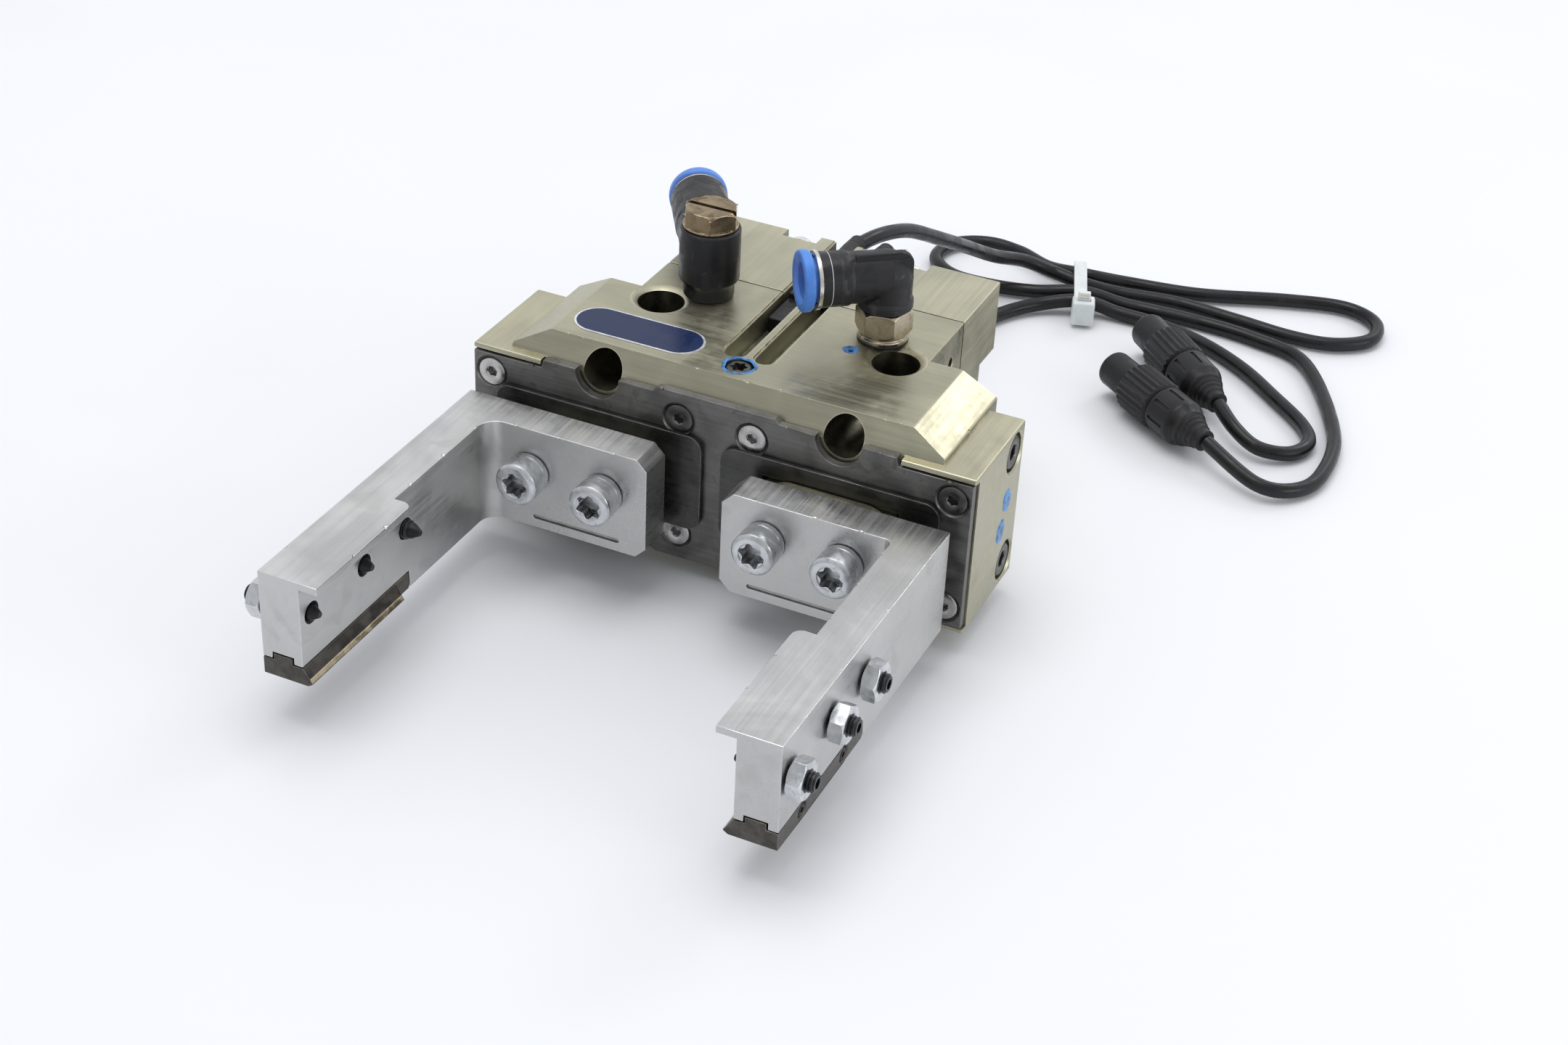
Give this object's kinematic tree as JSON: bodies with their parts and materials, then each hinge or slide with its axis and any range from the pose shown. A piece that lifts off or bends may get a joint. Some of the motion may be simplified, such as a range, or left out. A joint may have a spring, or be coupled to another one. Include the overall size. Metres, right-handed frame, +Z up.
{
  "type": "parallel jaw pneumatic gripper",
  "caption": "Compact two-jaw parallel air gripper with long L-shaped fingers, wedge-hook drive, push-in air fittings and slot sensors on leads.",
  "frame": {"origin": "bottom centre of the bounding box without the sensor leads", "axes": "+Z up, jaws slide along X, fingers point to -Y, mounting end faces +Y"},
  "size_m": [0.124, 0.2024, 0.0509],
  "materials": {
    "banjo_body": "black moulded",
    "banjo_release_ring": "blue acetal",
    "base_jaw_left": "olive-champagne hard anodised, fine brushed",
    "base_jaw_right": "olive-champagne hard anodised, fine brushed",
    "cable_tie": "white nylon",
    "connector_left": "black moulded",
    "connector_right": "black moulded",
    "cover_screw_1": "machined steel",
    "cover_screw_2": "machined steel",
    "cover_screw_3": "machined steel",
    "cover_screw_4": "machined steel",
    "cover_screw_5": "machined steel",
    "cover_screw_6": "machined steel",
    "cover_screw_7": "machined steel",
    "cover_screw_8": "machined steel",
    "elbow_body": "black moulded",
    "elbow_release_ring": "blue acetal",
    "end_screw_left_lower": "machined steel",
    "end_screw_left_upper": "machined steel",
    "end_screw_right_lower": "machined steel",
    "end_screw_right_upper": "machined steel",
    "finger_left": "bare milled",
    "finger_right": "bare milled",
    "finger_screw_left_inner": "bluish zinc plate",
    "finger_screw_left_outer": "bluish zinc plate",
    "finger_screw_right_inner": "bluish zinc plate",
    "finger_screw_right_outer": "bluish zinc plate",
    "force_spring": "machined steel",
    "front_cover_plate": "dark grey oxide, worn bright edges",
    "housing": "olive-champagne hard anodised, fine brushed",
    "jam_nut_left_1": "bluish zinc plate",
    "jam_nut_left_2": "bluish zinc plate",
    "jam_nut_left_3": "bluish zinc plate",
    "jam_nut_right_1": "bluish zinc plate",
    "jam_nut_right_2": "bluish zinc plate",
    "jam_nut_right_3": "bluish zinc plate",
    "jaw_cover_left": "dark grey oxide, worn bright edges",
    "jaw_cover_right": "dark grey oxide, worn bright edges",
    "piston": "turned",
    "piston_magnet": "sintered magnet",
    "piston_seal": "nitrile",
    "port_a_bolt": "plated brass",
    "port_b_stem": "nickel plated brass",
    "rear_screw_left": "machined steel",
    "rear_screw_right": "machined steel",
    "sealing_plug": "machined steel",
    "sensor_cable_left": "black sheath",
    "sensor_cable_right": "black sheath",
    "sensor_left": "black moulded",
    "sensor_right": "black moulded",
    "set_screw_left_1": "black oxide",
    "set_screw_left_2": "black oxide",
    "set_screw_left_3": "black oxide",
    "set_screw_right_1": "black oxide",
    "set_screw_right_2": "black oxide",
    "set_screw_right_3": "black oxide",
    "spring_housing": "olive-champagne hard anodised, fine brushed",
    "tip_insert_left": "dark tool steel, ground strip",
    "tip_insert_right": "dark tool steel, ground strip",
    "wedge_hook": "machined steel"
  },
  "bodies": {
    "gripper_body": {"cable_tie": "cable_tie", "connector_left": "connector_left", "connector_right": "connector_right", "cover_screw_1": "cover_screw_1", "cover_screw_2": "cover_screw_2", "cover_screw_3": "cover_screw_3", "cover_screw_4": "cover_screw_4", "cover_screw_5": "cover_screw_5", "cover_screw_6": "cover_screw_6", "cover_screw_7": "cover_screw_7", "cover_screw_8": "cover_screw_8", "end_screw_left_lower": "end_screw_left_lower", "end_screw_left_upper": "end_screw_left_upper", "end_screw_right_lower": "end_screw_right_lower", "end_screw_right_upper": "end_screw_right_upper", "force_spring": "force_spring", "front_cover_plate": "front_cover_plate", "housing": "housing", "port_a_bolt": "port_a_bolt", "port_b_stem": "port_b_stem", "rear_screw_left": "rear_screw_left", "rear_screw_right": "rear_screw_right", "sealing_plug": "sealing_plug", "sensor_cable_left": "sensor_cable_left", "sensor_cable_right": "sensor_cable_right", "sensor_left": "sensor_left", "sensor_right": "sensor_right", "spring_housing": "spring_housing"},
    "jaw_left_slide": {"base_jaw_left": "base_jaw_left", "finger_left": "finger_left", "finger_screw_left_inner": "finger_screw_left_inner", "finger_screw_left_outer": "finger_screw_left_outer", "jam_nut_left_1": "jam_nut_left_1", "jam_nut_left_2": "jam_nut_left_2", "jam_nut_left_3": "jam_nut_left_3", "jaw_cover_left": "jaw_cover_left", "set_screw_left_1": "set_screw_left_1", "set_screw_left_2": "set_screw_left_2", "set_screw_left_3": "set_screw_left_3", "tip_insert_left": "tip_insert_left"},
    "jaw_right_slide": {"base_jaw_right": "base_jaw_right", "finger_right": "finger_right", "finger_screw_right_inner": "finger_screw_right_inner", "finger_screw_right_outer": "finger_screw_right_outer", "jam_nut_right_1": "jam_nut_right_1", "jam_nut_right_2": "jam_nut_right_2", "jam_nut_right_3": "jam_nut_right_3", "jaw_cover_right": "jaw_cover_right", "set_screw_right_1": "set_screw_right_1", "set_screw_right_2": "set_screw_right_2", "set_screw_right_3": "set_screw_right_3", "tip_insert_right": "tip_insert_right"},
    "piston_drive": {"piston": "piston", "piston_seal": "piston_seal", "piston_magnet": "piston_magnet", "wedge_hook": "wedge_hook"},
    "elbow": {"elbow_body": "elbow_body"},
    "elbow_ring": {"elbow_release_ring": "elbow_release_ring"},
    "banjo": {"banjo_body": "banjo_body"},
    "banjo_ring": {"banjo_release_ring": "banjo_release_ring"}
  },
  "joints": [
    {"name": "piston_stroke", "type": "slide", "parent": "gripper_body", "child": "piston_drive", "axis": [0, 1, 0], "range_m": [0, 0.0075]},
    {"name": "jaw_right_stroke", "type": "slide", "parent": "gripper_body", "child": "jaw_right_slide", "axis": [1, 0, 0], "range_m": [0, 0.006]},
    {"name": "jaw_left_stroke", "type": "slide", "parent": "gripper_body", "child": "jaw_left_slide", "axis": [-1, 0, 0], "range_m": [0, 0.006]},
    {"name": "elbow_swivel", "type": "hinge", "parent": "gripper_body", "child": "elbow", "pos_m": [0.0157, 0.0309, 0.046], "axis": [0, 0, 1], "continuous": true},
    {"name": "elbow_ring_press", "type": "slide", "parent": "elbow", "child": "elbow_ring", "axis": [0.788, 0.6157, 0], "range_m": [0, 0.0005], "stiffness_N_per_m": 300},
    {"name": "banjo_swivel", "type": "hinge", "parent": "gripper_body", "child": "banjo", "pos_m": [-0.0145, 0.0304, 0.0426], "axis": [0, 0, 1], "range_deg": [-60, 150]},
    {"name": "banjo_ring_press", "type": "slide", "parent": "banjo", "child": "banjo_ring", "axis": [0.527, -0.8499, 0], "range_m": [0, 0.0005], "stiffness_N_per_m": 300}
  ],
  "couplings": [
    {"joint": "piston_stroke", "follows": "jaw_right_stroke", "ratio": 1.25},
    {"joint": "jaw_left_stroke", "follows": "jaw_right_stroke", "ratio": 1}
  ]
}
